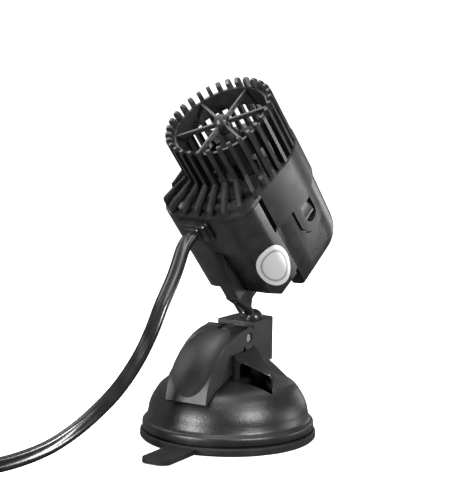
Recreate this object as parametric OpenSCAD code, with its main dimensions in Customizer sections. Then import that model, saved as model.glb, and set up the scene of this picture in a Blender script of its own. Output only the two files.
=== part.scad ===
// Wave maker pump for ponds and aquariums, on a ball joint above a lever-locked suction base.
// Millimetres. The origin is the centre of the suction lip, Z is up, X runs along the lever pin,
// and the lever points to -Y. The pump head is drawn upright about its own axis and then leaned.

/* [Suction base] */
// Diameter of the rubber cup
cup_d = 68; // [64:1:76]
// Thickness of the rubber lip
cup_lip = 3; // [2.5:0.1:4]
// Length of the pull tab beyond the cup
tab_len = 20; // [12:1:24]
// Width of the pull tab
tab_w = 12; // [10:1:18]
// Height of the dome's crown above the glass
dome_h = 25.6; // [24:0.2:27]
// Wall of the dome
dome_wall = 2; // [1.5:0.1:2.4]

/* [Lift post and lever] */
// Width of the post along the lever pin
post_w = 16.6; // [15:0.2:18]
// Height of the post's top face
post_top = 44.2; // [42.8:0.2:46]
// Height of the lever pin
pin_z = 39; // [38.6:0.1:39.4]
// Diameter of the lever pin
pin_d = 3; // [2.4:0.1:3.2]
// Width of the lever
lever_w = 18.6; // [17.6:0.2:19]
// Lift of the post between unlocked and locked
lift = 1.2; // [0.8:0.1:1.3]

/* [Ball joint] */
// Diameter of the ball
ball_d = 8; // [7.6:0.1:8.4]
// Wall of the liner that grips the ball
liner_wall = 1; // [0.8:0.1:1.4]
// Lean of the pump head from upright, as photographed
lean = 40; // [36:1:41]

/* [Pump head] */
// Outside radius of the round end of the body
body_r = 22.4; // [21.5:0.1:23.5]
// Wall of the cage skirt
skirt_wall = 2.15; // [1.8:0.05:2.4]
// Distance from the pump axis to the end face of the coil box
box_reach = 32.5; // [31.5:0.5:34.5]
// Width of the coil box
box_w = 41; // [39:0.5:41]
// Height of the coil box top above the ball
deck_z = 52.5; // [51:0.5:54]
// Number of cage fins
fin_count = 32; // [28:2:36]
// Thickness of a cage fin
fin_t = 1.5; // [1.2:0.1:1.8]
// Outside radius of the cage fins
fin_r = 22; // [21:0.2:22.4]
// Height of the cage above the coil box
cage_h = 24; // [22:0.5:26]
// Number of outlet spokes
spoke_count = 6; // [4:1:8]

/* [Rotor] */
// Diameter of the magnet
magnet_d = 20.8; // [18:0.2:21]
// Diameter of the impeller
impeller_d = 32; // [26:0.5:33]
// Number of impeller blades
blade_count = 3; // [2:1:5]
// Diameter of the rotor shaft
shaft_d = 3; // [2.5:0.1:3.4]

/* [Power cord] */
// Width of the flat two-core cord
cord_w = 5.4; // [5:0.1:5.6]
// Thickness of the cord
cord_t = 3.2; // [2.8:0.1:3.4]

/* [Hidden] */
$fn = 48;

// Clearances: sliding, running and moulded fits
slide_gap = 0.3;
run_gap = 0.05;
fit_gap = 0.15;
eps = 0.01;

// Base levels
cup_r = cup_d / 2;
flange_r = cup_r - 0.9;
cup_crown = 7;
tab_turn = 2;
stem_r = 4.7;
stem_flange_r = 11;
stem_flange_t = 1.8;
saddle_r = 25;
saddle_foot = 19;
roof_inner = lever_w / 2 + 1;
roof_outer = 20.7;
roof_front = -12.2;
roof_end = -4.4;
roof_z = pin_z - 5;
roof_low = roof_z - 6;
roof_sweep = atan2(roof_end - roof_front, roof_outer - roof_inner);
post_front = 5;
post_back = 22;
post_corner = 4;
post_foot = 27.6;
post_half = post_w / 2;
tongue_half = 2.6;
tongue_r = 3.4;
pad_x = 7.2;
lever_half = lever_w / 2;
tip_half = lever_half - 0.5;
lever_tip = flange_r - 3.2;
lever_reach = lever_tip + 1.1;
lever_taper = 14;
lever_tall = 60;
cheek_t = 2.2;
lever_wall = 3.4;
hub_r = 4.3;
cam_throw = 2;
cam_r = 3.2;
pad_top = pin_z - cam_r - cam_throw - 0.5;

// Ball joint, with the socket at the back of the post
ball_r = ball_d / 2;
liner_r = ball_r + run_gap + liner_wall;
ball_at = [1.4, 15.5, post_top - 0.7];
lean_heading = -97.6;
ball_out = 1.5;
axis_back = box_reach + ball_out;

// Pump head levels above the ball, on the pump axis
round_foot = 6;
box_foot = 9.6;
box_shoulder = 15;
skirt_foot = 36.5;
core_r = body_r - skirt_wall - 0.25;
skirt_end = 18.3;
box_start = 20.5;
box_half = box_w / 2;
box_corner = 9;
rim_foot = deck_z + 0.3;
rim_t = 1.5;
rim_step = 0.3;
fin_foot = rim_foot + 0.6;
cage_top = deck_z + cage_h;
ring_top = cage_top - 3;
ring_h = 8;
ring_r = fin_r - 2.4;
ring_wall = 1.1;
flare_top = deck_z + 8.4;
flare_low = deck_z + 5.6;
well_r = magnet_d / 2 + 0.7;
well_wall = 1.5;
well_foot = 13.6;
chamber_half = box_half - 3.5;
chamber_end = box_reach - 3;
chamber_foot = 13;
potting_end = box_reach - 7.4;
potting_half = chamber_half - 4;
chamber_top = deck_z - 3;
tongue_w = 14.6;
tongue_x = 1.4;
tongue_foot = 21.6;
tongue_window = 7;
catch_foot = tongue_foot + (tongue_w - tongue_window) / 2 + 2.2;
catch_h = 6.4;
recess_gap = 0.6;

// Rotor levels
shaft_r = shaft_d / 2;
bush_wall = 0.7;
hub_r_out = shaft_r + bush_wall + 1;
shaft_foot = 10.8;
shaft_top = ring_top - 1.6;
bush_h = 3.2;
magnet_foot = well_foot + 1.4;
magnet_top = deck_z - 4.5;
hub_foot = ring_top - 4.6;

// Cable gland on the end face
gland_y = -4;
gland_z = deck_z - 4.7;
gland_out = box_reach + 3.5;

// Cord, chosen by hand where it is not coiled
cord_stand = 0.9;
cord_floor = cord_stand + cord_w / 2;
coil_at = [-14, -181];
coil_pitch = cord_t + 0.6;
coil_layer = cord_w + 0.6;
coil_turns = 3;
coil_outer = 36;
coil_start = 168;
coil_end_turn = -0.13;
coil_steps = 24;
coil_last = 2 * coil_turns + coil_end_turn;
plug_len = 30;
plug_w = 34;
plug_t = 13.7;
plug_pin_d = 4;
plug_pin_len = 19;
plug_pin_gap = 18.6;
plug_nose_d = 9;

// A point of the pump head, given from the ball, in the part's frame
function turn_z(p, a) = [p[0] * cos(a) - p[1] * sin(a), p[0] * sin(a) + p[1] * cos(a), p[2]];
function turn_y(p, a) = [p[0] * cos(a) + p[2] * sin(a), p[1], p[2] * cos(a) - p[0] * sin(a)];
function head_point(p) = ball_at + turn_z(turn_y(p, lean), lean_heading);

cord_exit = head_point([gland_out - axis_back, gland_y, gland_z]);
cord_lead = head_point([gland_out - axis_back + 6, gland_y, gland_z]);
coil_in = coil_point(0) - cord_w * coil_heading(0);
free_route = [cord_exit, cord_lead, [-5.6, -29.6, 65.2], [-5.2, -38.2, 55.4], [-6.2, -43.6, 45.6],
    [-9, -48, 36], [-12.8, -54, 26.6], [-17, -61, 19], [-21.4, -69, 12.6], [-25.8, -78.6, 7.8],
    [-31, -90, 5], [-36.6, -102.4, 4], [-42.2, -116, cord_floor], [-46, -131, cord_floor],
    [-47.8, -148, cord_floor], coil_in];

// The coil: a spiral inwards on the lower layer, a climb, and a spiral outwards on the upper one
function coil_angle(t) = coil_start + 360 * t;
function coil_r(t) = coil_outer - coil_pitch * min(t, coil_last - t);
function climb(t) = min(1, max(0, (t - coil_last / 2 + 0.25) * 2));
function coil_point(t) = [coil_at[0] + coil_r(t) * cos(coil_angle(t)),
    coil_at[1] + coil_r(t) * sin(coil_angle(t)),
    cord_floor + coil_layer * climb(t) * climb(t) * (3 - 2 * climb(t))];
function coil_heading(t) = [-sin(coil_angle(t)), cos(coil_angle(t)), 0];
coil_out = coil_point(coil_last) + cord_w * coil_heading(coil_last);
coil_route = [coil_in,
    for (i = [0 : coil_last * coil_steps]) coil_point(i / coil_steps),
    coil_point(coil_last), coil_out];
coil_gaps = [for (i = [0 : 6 : len(coil_route) - 1]) for (j = [i + 12 : 3 : len(coil_route) - 1])
    cord_gap(coil_route[i] - coil_route[j])];
// Gap between two turns, from the turns' centres: side by side, or one above the other
function cord_gap(d) = max(norm([d[0], d[1]]) - cord_t, abs(d[2]) - cord_w);
echo(coil_least_gap = min(coil_gaps));

// The tail climbs on the coil and turns inwards, and the plug lies on the coil
tail_along = coil_heading(coil_last);
tail_in = [-cos(coil_angle(coil_last)), -sin(coil_angle(coil_last)), 0];
function tail_point(along, inwards, up) = coil_point(coil_last) + along * tail_along + inwards * tail_in + [0, 0, up];
plug_heading = unit(0.39 * tail_in - 0.92 * tail_along);
plug_at = [tail_point(22.2, 51.6, 0)[0], tail_point(22.2, 51.6, 0)[1],
    cord_stand + cord_w + coil_layer + 0.3 + plug_t / 2];
tail_rise = plug_at[2] - coil_point(coil_last)[2];
tail_route = [coil_out, tail_point(15.4, 2.8, 1), tail_point(24.4, 8.6, 3.6), tail_point(30.8, 16.4, 6.6),
    tail_point(34.4, 25, 8.8), tail_point(35.2, 35.4, tail_rise), tail_point(30.4, 45.4, tail_rise),
    plug_at - 4 * plug_heading, plug_at];

// A smooth curve through the points of a route
function spline(a, b, c, d, t) = b + 0.5 * t * (c - a + t * (2 * a - 5 * b + 4 * c - d
    + t * (3 * (b - c) + d - a)));
function smooth(route, n) = let (last = len(route) - 1) [
    for (i = [0 : last - 1]) for (k = [0 : n - 1])
        spline(route[max(i - 1, 0)], route[i], route[i + 1], route[min(i + 2, last)], k / n),
    route[last]];
function unit(v) = v / norm(v);
function heading(line, i) = unit(line[min(i + 1, len(line) - 1)] - line[max(i - 1, 0)]);
// One ring of a flat cord, standing on its edge across the heading
function cord_ring(at, along, sides) = let (side = unit(cross(along, [0, 0, 1])), up = cross(side, along))
    [for (k = [0 : sides - 1]) at + side * cord_t / 2 * cos(360 * (k + 0.5) / sides)
        + up * cord_w / 2 * sin(360 * (k + 0.5) / sides)];

module swept_cord(line, sides, first, last) {
    rings = len(line);
    points = [for (i = [0 : rings - 1])
        each cord_ring(line[i], i == 0 ? first : i == rings - 1 ? last : heading(line, i), sides)];
    walls = [for (i = [0 : rings - 2]) for (k = [0 : sides - 1]) let (n = (k + 1) % sides)
        each [[i * sides + k, i * sides + n, (i + 1) * sides + n],
            [i * sides + k, (i + 1) * sides + n, (i + 1) * sides + k]]];
    start_cap = [for (k = [1 : sides - 2]) [0, k + 1, k]];
    end_at = (rings - 1) * sides;
    end_cap = [for (k = [1 : sides - 2]) [end_at, end_at + k, end_at + k + 1]];
    polyhedron(points, concat(walls, start_cap, end_cap));
}

// Frames of the leaned head: at the ball, and on the pump axis
module at_ball() {
    translate(ball_at) rotate([0, 0, lean_heading]) rotate([0, lean, 0]) children();
}

module at_pump() {
    at_ball() translate([-axis_back, 0, 0]) children();
}

// Suction base
module suction_cup() {
    color([0.06, 0.06, 0.06]) difference() {
        union() {
            rotate_extrude($fn = 96) polygon([[0, 3.4], [stem_flange_r, 3], [22, 1.4], [24, 0],
                [cup_r - 0.6, 0], [cup_r, 0.6], [cup_r, cup_lip - 0.6], [cup_r - 0.6, cup_lip],
                [stem_flange_r + 3, cup_lip + 1.2], [stem_flange_r + 1, cup_crown], [0, cup_crown]]);
            rotate([0, 0, tab_turn]) translate([0, -cup_r + 2, 0.5]) linear_extrude(1.8) tab_outline();
        }
        translate([0, 0, cup_crown - stem_flange_t]) cylinder(r = stem_flange_r, h = 5);
    }
}

module tab_outline() {
    hull() {
        translate([-tab_w / 2, -tab_len * 0.5]) square([tab_w, tab_len * 0.5]);
        for (side = [-1, 1])
            translate([side * (tab_w / 2 - 4), -tab_len - 2 + 4]) circle(4, $fn = 24);
    }
}

module dome_outline(inset) {
    foot = inset > 0 ? -1 : cup_lip + 0.8;
    polygon([[0, foot], [flange_r - inset, foot], [flange_r - inset, cup_lip + 3 - inset / 2],
        [flange_r - 0.5 - inset, cup_lip + 3.8 - inset / 2], [flange_r - 1.6 - inset, cup_lip + 4.4 - inset / 2],
        [flange_r - 2.2 - inset, dome_h - 15.6], [flange_r - 2.7 - inset, dome_h - 13],
        [flange_r - 3.7 - inset, dome_h - 10.4 - inset * 0.2], [flange_r - 5.1 - inset * 0.9, dome_h - 8 - inset * 0.4],
        [flange_r - 6.7 - inset * 0.8, dome_h - 5.8 - inset * 0.6], [flange_r - 9 - inset * 0.6, dome_h - 4 - inset * 0.8],
        [20.3 - inset * 0.4, dome_h - 2.4 - inset], [15, dome_h - 1 - inset], [0, dome_h - inset]]);
}

// The raised saddle round the post: a roof that falls to each side, with a front that is swept back
module saddle(inset) {
    hull() {
        for (side = [-1, 1]) {
            translate([side * roof_inner, roof_front + inset * 1.3, roof_z - inset]) corner();
            translate([side * roof_inner, 3, roof_z + 0.6 - inset]) corner();
            translate([side * (roof_outer - inset), roof_end + inset * 0.6, roof_low - inset]) corner();
            translate([side * (roof_outer + 1.6 - inset), 6, roof_low - 4 - inset]) corner();
            translate([side * (saddle_r - 2 - inset), 11, saddle_foot + 1.6]) corner();
            translate([side * (saddle_r - inset), roof_end - 2 + inset, saddle_foot]) corner();
            translate([side * roof_inner, roof_front + inset * 1.3, saddle_foot]) corner();
            translate([side * (post_half + 1), post_back - 2 - inset, 24.6 - inset]) corner();
        }
        translate([0, 0, saddle_foot]) intersection() {
            cylinder(r = saddle_r - inset, h = 1.4, $fn = 32);
            translate([-50, 0, -1]) cube([100, 100, 4]);
        }
    }
}

module corner() {
    translate([-0.2, 0, -0.2]) cube(0.4);
}

module base_dome() {
    color([0.09, 0.09, 0.09]) {
        difference() {
            union() {
                rotate_extrude($fn = 96) dome_outline(0);
                translate([0, 0, cup_lip + 0.35]) cylinder(r = flange_r - 1.2, h = 1.65, $fn = 96);
                saddle(0);
                for (side = [-1, 1]) saddle_ledge(side);
            }
            rotate_extrude($fn = 96) dome_outline(dome_wall);
            difference() {
                saddle(dome_wall);
                rotate_extrude($fn = 96) dome_outline(0);
            }
            // Way for the lever, the post and the stem
            translate([-lever_half - 0.4, roof_front - 12, dome_h + 0.3])
                cube([lever_w + 0.8, post_front - roof_front + 12 - slide_gap, 20]);
            translate([0, 0, dome_h + 0.3]) linear_extrude(20) post_outline(slide_gap);
            cylinder(r = stem_r + slide_gap, h = 60);
            for (side = [-1, 1]) saddle_window(side);
        }
        for (side = [-1, 1])
            translate([side * pad_x - 1.3, -3, dome_h - 2.2]) cube([2.6, 6, pad_top - dome_h + 2.2]);
    }
}

// Places a piece on the swept front of the roof: X runs outwards along it, and Z up
module on_front(side) {
    mirror([side < 0 ? 1 : 0, 0, 0]) translate([roof_inner, roof_front, 0]) rotate([0, 0, roof_sweep]) children();
}

roof_run = norm([roof_outer - roof_inner, roof_end - roof_front]);
roof_fall = roof_z - roof_low;

module saddle_ledge(side) {
    on_front(side) hull() {
        translate([0.2, -0.8, roof_z - 1.3]) cube([0.4, 1.6, 1.3]);
        translate([roof_run - 0.4, -0.8, roof_z - roof_fall - 1.3]) cube([0.4, 1.6, 1.3]);
    }
}

// Opening under the roof, which goes on as a slot through the dome before it
module saddle_window(side) {
    difference() {
        on_front(side) translate([0, dome_wall + 2.4, 0]) rotate([90, 0, 0]) linear_extrude(dome_wall + 8.4)
            offset(0.8, $fn = 16) offset(delta = -0.8)
                polygon([[2, dome_h - 6], [roof_run + 1.2, dome_h - 8], [roof_run + 0.6, roof_z - roof_fall - 1.6],
                    [2, roof_z - 2.2]]);
        rotate_extrude($fn = 96) dome_outline(0);
    }
    on_front(side) translate([0, 0, saddle_foot - 6]) linear_extrude(dome_h - saddle_foot + 6) offset(0.8, $fn = 16)
        offset(delta = -0.8) polygon([[2, -0.4], [roof_run + 0.8, -5.9], [roof_run + 1.4, -1], [roof_run, 2],
            [roof_run - 0.4, 7], [9, 9], [2, 1]]);
}

// Plan of the post, square in front and rounded at the back
module post_outline(gap) {
    translate([-post_half - gap, post_front - gap])
        square([post_w + 2 * gap, post_back - post_front - post_corner + 2 * gap]);
    translate([-post_half + post_corner, post_front])
        square([post_w - 2 * post_corner, post_back - post_front + gap]);
    for (side = [-1, 1])
        translate([side * (post_half - post_corner), post_back - post_corner]) circle(post_corner + gap, $fn = 32);
}

// Lift post, with its stem in the cup, a tongue for the pin and the ball socket at the back
module lift_post() {
    color([0.08, 0.08, 0.08]) difference() {
        union() {
            translate([0, 0, cup_crown - stem_flange_t]) cylinder(r = stem_flange_r, h = stem_flange_t);
            translate([0, 0, cup_crown - eps]) cylinder(r = stem_r, h = post_foot + 1.6 - cup_crown);
            translate([0, 0, post_foot]) linear_extrude(post_top - post_foot) post_outline(0);
            intersection() {
                translate([-tongue_half, -hub_r, post_foot + 1])
                    cube([2 * tongue_half, post_front + hub_r + eps, pin_z + tongue_r - post_foot - 1]);
                union() {
                    translate([-tongue_half, 0, pin_z]) rotate([0, 90, 0]) cylinder(r = tongue_r, h = 2 * tongue_half);
                    translate([-tongue_half, -hub_r, 0]) cube([2 * tongue_half, 20, pin_z]);
                    translate([-tongue_half, 0, 0]) cube([2 * tongue_half, 20, 60]);
                }
            }
        }
        translate([-post_half - 1, 0, pin_z]) rotate([0, 90, 0]) cylinder(d = pin_d, h = post_w + 2, $fn = 32);
        translate([ball_at[0], ball_at[1], ball_at[2] - ball_r - liner_wall - run_gap])
            cylinder(r = liner_r + run_gap, h = 20);
    }
}

module lever_pin() {
    color([0.78, 0.78, 0.78]) translate([-lever_half + 0.5, 0, pin_z]) rotate([0, 90, 0])
        cylinder(d = pin_d - 2 * eps, h = lever_w - 1, $fn = 32);
}

// Side view of the lever, with Y along the page and Z up
module lever_side(inset) {
    offset(delta = -inset) polygon([[1, pin_z + hub_r - 0.1], [-6, pin_z + 3.2], [-11, pin_z + 1.7],
        [13.9 - lever_tip, pin_z - 0.8], [9.5 - lever_tip, pin_z - 4], [5.7 - lever_tip, pin_z - 7.6],
        [2.9 - lever_tip, pin_z - 11.6], [1 - lever_tip, dome_h - 2.6], [-lever_tip, dome_h - 7.2],
        [0.6 - lever_tip, dome_h - 8], [5.2 - lever_tip, dome_h - 4], [12 - lever_tip, dome_h - 0.9],
        [-11.1, dome_h + 1.8], [-8, dome_h + 4.4], [-3.4, pin_z - 2.6], [0, pin_z - 1]]);
}

// Plan of the lever, which narrows to its tip
module lever_plan() {
    polygon([[-lever_half, hub_r], [-lever_half, -lever_taper], [-tip_half, -lever_reach], [tip_half, -lever_reach],
        [lever_half, -lever_taper], [lever_half, hub_r]]);
}

// Thumb hollow: a shallow groove along the lever, which runs out above the tip
dish_r = 19;
dish_ring = 49.1;
dish_turn = 36;
dish_high = 30;
dish_at = [43.4 - lever_tip, pin_z - 42.5];

module thumb_dish() {
    translate([0, dish_at[0], dish_at[1]]) rotate([90, 0, 90]) rotate([0, 0, 95])
        rotate_extrude(angle = 70, $fn = 180) polygon([
            for (a = [-dish_turn : 4 : dish_turn]) [dish_ring + dish_r * (1 - cos(a)), dish_r * sin(a)],
            [dish_ring + dish_high, dish_r * sin(dish_turn)], [dish_ring + dish_high, -dish_r * sin(dish_turn)]]);
}

module cam_lever() {
    color([0.09, 0.09, 0.09]) difference() {
        union() {
            intersection() {
                rotate([90, 0, 90]) linear_extrude(lever_w, center = true) lever_side(0);
                linear_extrude(lever_tall) lever_plan();
            }
            translate([-lever_half, 0, pin_z]) rotate([0, 90, 0]) cylinder(r = hub_r, h = lever_w);
            // Cam under the pin, which draws the post up when the lever is pressed down
            translate([-lever_half, 0, pin_z - cam_throw]) rotate([0, 90, 0]) cylinder(r = cam_r, h = lever_w);
        }
        intersection() {
            rotate([90, 0, 90]) linear_extrude(lever_w, center = true) difference() {
                union() {
                    lever_side(lever_wall);
                    polygon([[-9, pin_z - 6], [3.3 - lever_tip, dome_h - 4], [-lever_reach, 0], [-6, 0], [-6, pin_z - 9]]);
                }
                translate([-7, 0]) square([30, lever_tall]);
            }
            linear_extrude(lever_tall) offset(delta = -cheek_t) lever_plan();
        }
        translate([-tongue_half - slide_gap, -hub_r - 0.4, 0])
            cube([2 * (tongue_half + slide_gap), 30, lever_tall]);
        translate([-lever_half - 1, 0, pin_z]) rotate([0, 90, 0])
            cylinder(d = pin_d + 2 * run_gap, h = lever_w + 2, $fn = 32);
        for (side = [-1, 1])
            translate([side * lever_half, 0, pin_z]) rotate([0, 90, 0])
                cylinder(d = pin_d + 1, h = 1, center = true, $fn = 32);
        thumb_dish();
    }
}

// Liner that grips the ball in the post
module ball_liner() {
    color([0.12, 0.12, 0.12]) translate(ball_at) difference() {
        translate([0, 0, -ball_r - liner_wall]) cylinder(r = liner_r, h = ball_r + liner_wall + 1.2);
        sphere(r = ball_r + run_gap);
        translate([0, 0, 0.9]) cylinder(r1 = ball_r * 0.95, r2 = ball_r * 1.08, h = 0.4);
    }
}

// Ball, neck and gusset, seated on the end and the foot of the coil box
neck_r = 1.9;
neck_top = 8;
gusset_back = 9;
gusset_long = 13.2;
gusset_half = 3;
rib_t = 1.8;
rib_h = 6;

module ball_arm() {
    color([0.08, 0.08, 0.08]) difference() {
        at_ball() {
            sphere(r = ball_r);
            cylinder(r = neck_r, h = neck_top, $fn = 32);
            hull() {
                translate([0, 0, neck_top - 2]) cylinder(r = neck_r, h = 0.5, $fn = 32);
                translate([-gusset_back, -gusset_half, box_shoulder]) cube([gusset_long, 2 * gusset_half, 1]);
            }
            translate([0.5 - gusset_back, -rib_t / 2, neck_top - 0.6]) cube([gusset_long - 0.6, rib_t, rib_h]);
            hull() {
                translate([-ball_out - 1, -3.2, box_shoulder]) cube([6.2, 6.4, 12]);
                translate([-ball_out - 1, -2.2, 34]) cube([1.2, 4.4, 1]);
            }
        }
        at_pump() box_form();
    }
}

// Motor housing: round end for the rotor, box for the coil, rotor well and chamber inside
module box_outline(inset) {
    hull() {
        translate([box_start - 10, -box_half + inset]) square([10, box_w - 2 * inset]);
        for (side = [-1, 1])
            translate([box_reach - box_corner, side * (box_half - box_corner)])
                circle(box_corner - inset, $fn = 32);
    }
}

module round_side() {
    polygon([[0, round_foot], [body_r - 6.2, round_foot], [body_r - 4, round_foot + 0.6],
        [body_r - 2.5, round_foot + 1.8], [body_r - 1.7, round_foot + 3.6], [body_r - 1.4, round_foot + 6],
        [body_r - 0.7, skirt_foot - fit_gap], [core_r, skirt_foot - fit_gap], [core_r, deck_z], [0, deck_z]]);
}

// Coil box, with a sloped foot
module box_form() {
    slope = 6;
    difference() {
        translate([0, 0, box_foot]) linear_extrude(deck_z - box_foot) difference() {
            box_outline(0);
            translate([-100, -100]) square([100 + box_start, 200]);
        }
        foot_slope(0, box_reach, slope);
        for (side = [-1, 1]) foot_slope(side * 90, box_half, slope);
    }
}

module foot_slope(turn, reach, slope) {
    rise = box_shoulder - box_foot;
    rotate([0, 0, turn]) rotate([90, 0, 0]) linear_extrude(120, center = true)
        polygon([[reach - slope - 1, box_foot - rise / slope], [reach + slope, box_foot - rise / slope],
            [reach + slope, box_shoulder + rise]]);
}

module round_form() {
    rotate([0, 0, 90]) rotate_extrude(angle = 180, $fn = 96) round_side();
    rotate([90, 0, 90]) linear_extrude(skirt_end) {
        round_side();
        mirror([1, 0]) round_side();
    }
}

module housing_form() {
    round_form();
    box_form();
    // Neck between the round end and the box, which leaves a slot beside the skirt
    translate([skirt_end - 1, -box_half + 2.4, box_shoulder])
        cube([box_start - skirt_end + 2, box_w - 4.8, deck_z - box_shoulder]);
    translate([skirt_end - 1, -box_half + 0.1, box_shoulder + 1])
        cube([box_start - skirt_end + 2, box_w - 0.2, skirt_foot - 1.2 - box_shoulder]);
    translate([skirt_end - 1, -box_half + 7, box_foot])
        cube([box_start - skirt_end + 2, box_w - 14, box_shoulder - box_foot + 2]);
}

module motor_housing() {
    color([0.08, 0.08, 0.08]) at_pump() difference() {
        union() {
            difference() {
                housing_form();
                for (side = [-1, 1]) tongue_place(side, recess_gap, body_r);
            }
            for (side = [-1, 1]) catch_wedge(side);
        }
        translate([0, 0, well_foot]) cylinder(r = well_r, h = 60);
        translate([0, 0, well_foot - bush_h]) cylinder(r = shaft_r + 2.2, h = bush_h + 1);
        // Chamber for the core and the coil, closed below by the potting
        translate([0, 0, chamber_foot]) linear_extrude(chamber_top - chamber_foot) difference() {
            translate([-7, -chamber_half]) square([chamber_end + 7, 2 * chamber_half]);
            circle(well_r + well_wall);
        }
        translate([well_r + 3, -potting_half, 0]) cube([potting_end - well_r - 3, 2 * potting_half, chamber_foot + 1]);
        translate([chamber_end - 1, gland_y - 3.5, gland_z - 2.4]) cube([10, 7, 4.8]);
    }
}

// Outline of a latch tongue on the side of the body, from the skirt down
module tongue_place(side, gap, out) {
    half = tongue_w / 2 + gap;
    translate([tongue_x, side * (core_r + 0.1), 0]) rotate([90, 0, 0]) mirror([0, 0, side > 0 ? 1 : 0])
        linear_extrude(out - core_r + 2) {
            translate([-half, tongue_foot + tongue_w / 2]) square([2 * half, 40 - tongue_foot - tongue_w / 2]);
            translate([0, tongue_foot + tongue_w / 2]) circle(half, $fn = 32);
        }
}

module catch_wedge(side) {
    half = tongue_window / 2 - 0.5;
    translate([tongue_x - half, 0, 0]) rotate([90, 0, 90]) linear_extrude(2 * half)
        polygon([[side * (core_r - 1), catch_foot], [side * (core_r + 1.5), catch_foot + 0.2],
            [side * (core_r + 1.5), catch_foot + 1.2], [side * core_r, catch_foot + catch_h],
            [side * (core_r - 1), catch_foot + catch_h]]);
}

module potting_plate() {
    color([0.03, 0.03, 0.03]) at_pump() translate([well_r + 3 + fit_gap, -potting_half + fit_gap, box_foot])
        cube([potting_end - well_r - 3 - 2 * fit_gap, 2 * (potting_half - fit_gap), chamber_foot - box_foot]);
}

// Laminated core, coil and bobbin in the box
core_foot = 22;
core_h = 15;
yoke_at = box_reach - 11;
yoke_half = 3;
coil_half_y = chamber_half - 8;
leg_inner = well_r + well_wall + 0.3;
leg_t = chamber_half - 0.3 - leg_inner;

module stator_core() {
    color([0.45, 0.45, 0.47]) at_pump() translate([0, 0, core_foot]) linear_extrude(core_h) {
        for (side = [-1, 1])
            translate([-6, side * (leg_inner + leg_t / 2) - leg_t / 2]) square([yoke_at + yoke_half + 6, leg_t]);
        translate([yoke_at - yoke_half, -chamber_half + 1]) square([2 * yoke_half, 2 * chamber_half - 2]);
    }
}

module coil_ring(half_y, inner, outer) {
    translate([yoke_at, 0, core_foot + core_h / 2]) rotate([90, 0, 0])
        linear_extrude(2 * half_y, center = true) difference() {
            offset(outer, $fn = 24) square([2 * yoke_half, core_h], center = true);
            offset(delta = inner) square([2 * yoke_half, core_h], center = true);
        }
}

module coil_bobbin() {
    color([0.85, 0.85, 0.8]) at_pump() {
        coil_ring(coil_half_y + 1.2, 0.15, 0.9);
        for (side = [-1, 1]) translate([0, side * (coil_half_y + 0.6), 0]) coil_ring(0.6, 0.15, 4.7);
    }
}

module coil_winding() {
    color([0.6, 0.3, 0.12]) at_pump() coil_ring(coil_half_y - eps, 0.9, 4.4);
}

module cable_gland() {
    color([0.07, 0.07, 0.07]) at_pump() translate([0, gland_y, gland_z]) {
        gland_step(box_reach, 1.4, 15, 8.4);
        gland_step(box_reach + 1.4 - eps, 1.1 + eps, 12.4, 7.4);
        gland_step(box_reach + 2.5 - eps, gland_out - box_reach - 2.5 + eps, 6.8, 5.6);
        translate([chamber_end, -3.5 + fit_gap, -2.4 + fit_gap])
            cube([box_reach - chamber_end + eps, 7 - 2 * fit_gap, 4.8 - 2 * fit_gap]);
    }
}

module gland_step(from, long, wide, high) {
    translate([from, 0, 0]) rotate([90, 0, 90]) linear_extrude(long)
        offset(1, $fn = 24) square([wide - 2, high - 2], center = true);
}

// Cage: fins, outlet ring, spokes and hub above the rim, skirt and latch tongues below it
function corner_reach(a) = let (c = [box_reach - box_corner, box_half - box_corner],
    b = c[0] * cos(a) + c[1] * abs(sin(a))) b + sqrt(max(0, b * b - c * c + box_corner * box_corner));
function box_ray(a) = box_reach * tan(abs(a)) < box_half - box_corner ? box_reach / cos(a)
    : box_half / tan(abs(a)) < box_reach - box_corner ? box_half / sin(abs(a)) : corner_reach(a);

module straight_fin() {
    polygon([[ring_r - 0.4, fin_foot], [fin_r, fin_foot], [fin_r, cage_top - 0.9], [fin_r - 0.5, cage_top],
        [fin_r - 1.7, cage_top], [fin_r - 2.5, cage_top - 0.9], [ring_r - 0.4, ring_top - 1]]);
}

module flared_fin(reach) {
    polygon([[ring_r - 0.4, flare_top - 2.6], [reach - 3.2, flare_low - 2.4], [reach - 3.2, fin_foot],
        [reach, fin_foot], [reach, flare_low - 1.8], [reach - 0.5, flare_low - 0.6], [reach - 1.7, flare_low],
        [fin_r + 0.4, flare_top], [fin_r, flare_top + 0.6], [fin_r, cage_top - 0.9], [fin_r - 0.5, cage_top],
        [fin_r - 1.7, cage_top], [fin_r - 2.5, cage_top - 0.9], [ring_r - 0.4, ring_top - 1]]);
}

module fin(angle) {
    side = angle > 180 ? angle - 360 : angle;
    reach = abs(side) < 88 ? box_ray(side) - 0.4 : 0;
    rotate([0, 0, angle]) rotate([90, 0, 0]) linear_extrude(fin_t, center = true)
        if (reach > fin_r + 0.8) flared_fin(reach);
        else straight_fin();
}

module skirt_outline(r) {
    circle(r, $fn = 96);
    translate([0, -r]) square([skirt_end, 2 * r]);
}

// Rim on the deck: open inside the outlet ring and over the flared fins
module rim_outline() {
    difference() {
        union() {
            skirt_outline(body_r - rim_step);
            box_outline(0);
        }
        difference() {
            offset(delta = -3.4) box_outline(0);
            circle(body_r - rim_step, $fn = 96);
        }
        circle(ring_r - ring_wall, $fn = 96);
    }
}

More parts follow.
